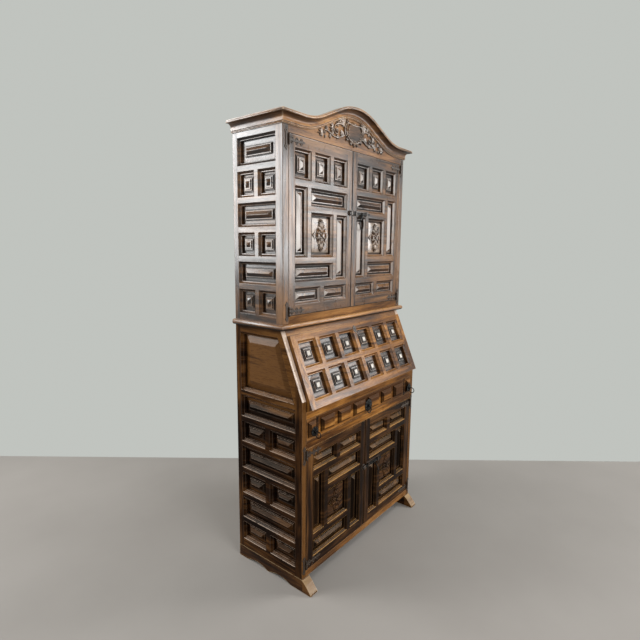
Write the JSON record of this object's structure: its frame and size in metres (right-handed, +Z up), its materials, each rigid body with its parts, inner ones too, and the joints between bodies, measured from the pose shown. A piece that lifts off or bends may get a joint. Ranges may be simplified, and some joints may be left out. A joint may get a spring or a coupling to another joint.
{
  "type": "vargueno writing cabinet",
  "caption": "Tall writing cabinet in coffered walnut with a slanting fall, drawer, pull-out supports, iron-hinged doors above and below, and an arched carved cornice.",
  "frame": {"origin": "centre of the bounding box's base, at floor level under the middle of the footprint", "axes": "+X to the right across the front, +Y from front to back, +Z up"},
  "size_m": [0.954, 0.422, 1.9751],
  "materials": {
    "walnut": "dark polished walnut with orange-brown figure, worn pale on the edges",
    "inner_wood": "plain brown wood, thinly waxed",
    "wrought_iron": "black forged iron, rubbed bright on the edges"
  },
  "bodies": {
    "carcase": {"runner_left": "walnut", "runner_right": "walnut", "base_side_frame_left": "walnut", "base_side_frame_right": "walnut", "base_side_panels_left": "walnut", "base_side_panels_right": "walnut", "base_bottom_rail": "walnut", "drawer_rail_board": "walnut", "writing_board": "walnut", "fall_head_rail": "walnut", "base_top_board": "walnut", "waist_moulding": "walnut", "upper_side_frame_left": "walnut", "upper_side_frame_right": "walnut", "upper_side_panels_left": "walnut", "upper_side_panels_right": "walnut", "upper_floor_board": "walnut", "cornice_front": "walnut", "cornice_returns": "walnut", "pediment_board": "walnut", "pediment_carving": "walnut", "base_back_board": "inner_wood", "base_bottom_board": "inner_wood", "base_shelf": "inner_wood", "support_guides": "inner_wood", "pigeonholes": "inner_wood", "upper_back_board": "inner_wood", "upper_shelves": "inner_wood", "upper_top_board": "inner_wood", "case_ironwork": "wrought_iron"},
    "upper_left_door": {"upper_left_door_frame": "walnut", "upper_left_door_panels": "walnut", "upper_left_door_ironwork": "wrought_iron"},
    "upper_right_door": {"upper_right_door_frame": "walnut", "upper_right_door_panels": "walnut", "upper_right_door_ironwork": "wrought_iron"},
    "lower_left_door": {"lower_left_door_frame": "walnut", "lower_left_door_panels": "walnut", "lower_left_door_ironwork": "wrought_iron"},
    "lower_right_door": {"lower_right_door_frame": "walnut", "lower_right_door_panels": "walnut", "lower_right_door_ironwork": "wrought_iron"},
    "fall": {"fall_frame": "walnut", "fall_panel": "walnut", "fall_ironwork": "wrought_iron"},
    "drawer": {"drawer_front": "walnut", "drawer_box": "inner_wood", "drawer_rosette": "wrought_iron"},
    "drawer_ring": {"drawer_ring": "wrought_iron"},
    "support_left": {"support_left": "walnut", "support_rosette_left": "wrought_iron"},
    "support_ring_left": {"support_ring_left": "wrought_iron"},
    "support_right": {"support_right": "walnut", "support_rosette_right": "wrought_iron"},
    "support_ring_right": {"support_ring_right": "wrought_iron"},
    "upper_bolt": {"upper_bolt": "wrought_iron"},
    "lower_bolt": {"lower_bolt": "wrought_iron"},
    "upper_bolt_ring": {"upper_bolt_ring": "wrought_iron"}
  },
  "joints": [
    {"name": "upper_left_door_hinge", "type": "hinge", "parent": "carcase", "child": "upper_left_door", "pos_m": [-0.41363, -0.0695, 1.463], "axis": [0, 0, -1], "range_deg": [0, 110]},
    {"name": "upper_right_door_hinge", "type": "hinge", "parent": "carcase", "child": "upper_right_door", "pos_m": [0.41363, -0.0695, 1.463], "axis": [0, 0, 1], "range_deg": [0, 110]},
    {"name": "lower_left_door_hinge", "type": "hinge", "parent": "carcase", "child": "lower_left_door", "pos_m": [-0.42105, -0.1685, 0.344], "axis": [0, 0, -1], "range_deg": [0, 110]},
    {"name": "lower_right_door_hinge", "type": "hinge", "parent": "carcase", "child": "lower_right_door", "pos_m": [0.42105, -0.1685, 0.344], "axis": [0, 0, 1], "range_deg": [0, 110]},
    {"name": "fall_hinge", "type": "hinge", "parent": "carcase", "child": "fall", "pos_m": [0, -0.1645, 0.7575], "axis": [1, 0, 0], "range_deg": [0, 112.97]},
    {"name": "drawer_slide", "type": "slide", "parent": "carcase", "child": "drawer", "axis": [0, -1, 0], "range_m": [0, 0.25]},
    {"name": "drawer_ring_swing", "type": "hinge", "parent": "drawer", "child": "drawer_ring", "pos_m": [0, -0.183, 0.678], "axis": [-1, 0, 0], "range_deg": [0, 85]},
    {"name": "support_slide_left", "type": "slide", "parent": "carcase", "child": "support_left", "axis": [0, -1, 0], "range_m": [0, 0.25]},
    {"name": "support_ring_swing_left", "type": "hinge", "parent": "support_left", "child": "support_ring_left", "pos_m": [-0.38405, -0.183, 0.672], "axis": [-1, 0, 0], "range_deg": [0, 60]},
    {"name": "support_slide_right", "type": "slide", "parent": "carcase", "child": "support_right", "axis": [0, -1, 0], "range_m": [0, 0.25]},
    {"name": "support_ring_swing_right", "type": "hinge", "parent": "support_right", "child": "support_ring_right", "pos_m": [0.38405, -0.183, 0.672], "axis": [-1, 0, 0], "range_deg": [0, 60]},
    {"name": "upper_bolt_slide", "type": "slide", "parent": "upper_right_door", "child": "upper_bolt", "axis": [-1, 0, 0], "range_m": [0, 0.018]},
    {"name": "lower_bolt_slide", "type": "slide", "parent": "lower_right_door", "child": "lower_bolt", "axis": [-1, 0, 0], "range_m": [0, 0.018]},
    {"name": "upper_bolt_ring_swing", "type": "hinge", "parent": "upper_bolt", "child": "upper_bolt_ring", "pos_m": [0.064, -0.0745, 1.528], "axis": [-1, 0, 0], "range_deg": [0, 80]}
  ]
}
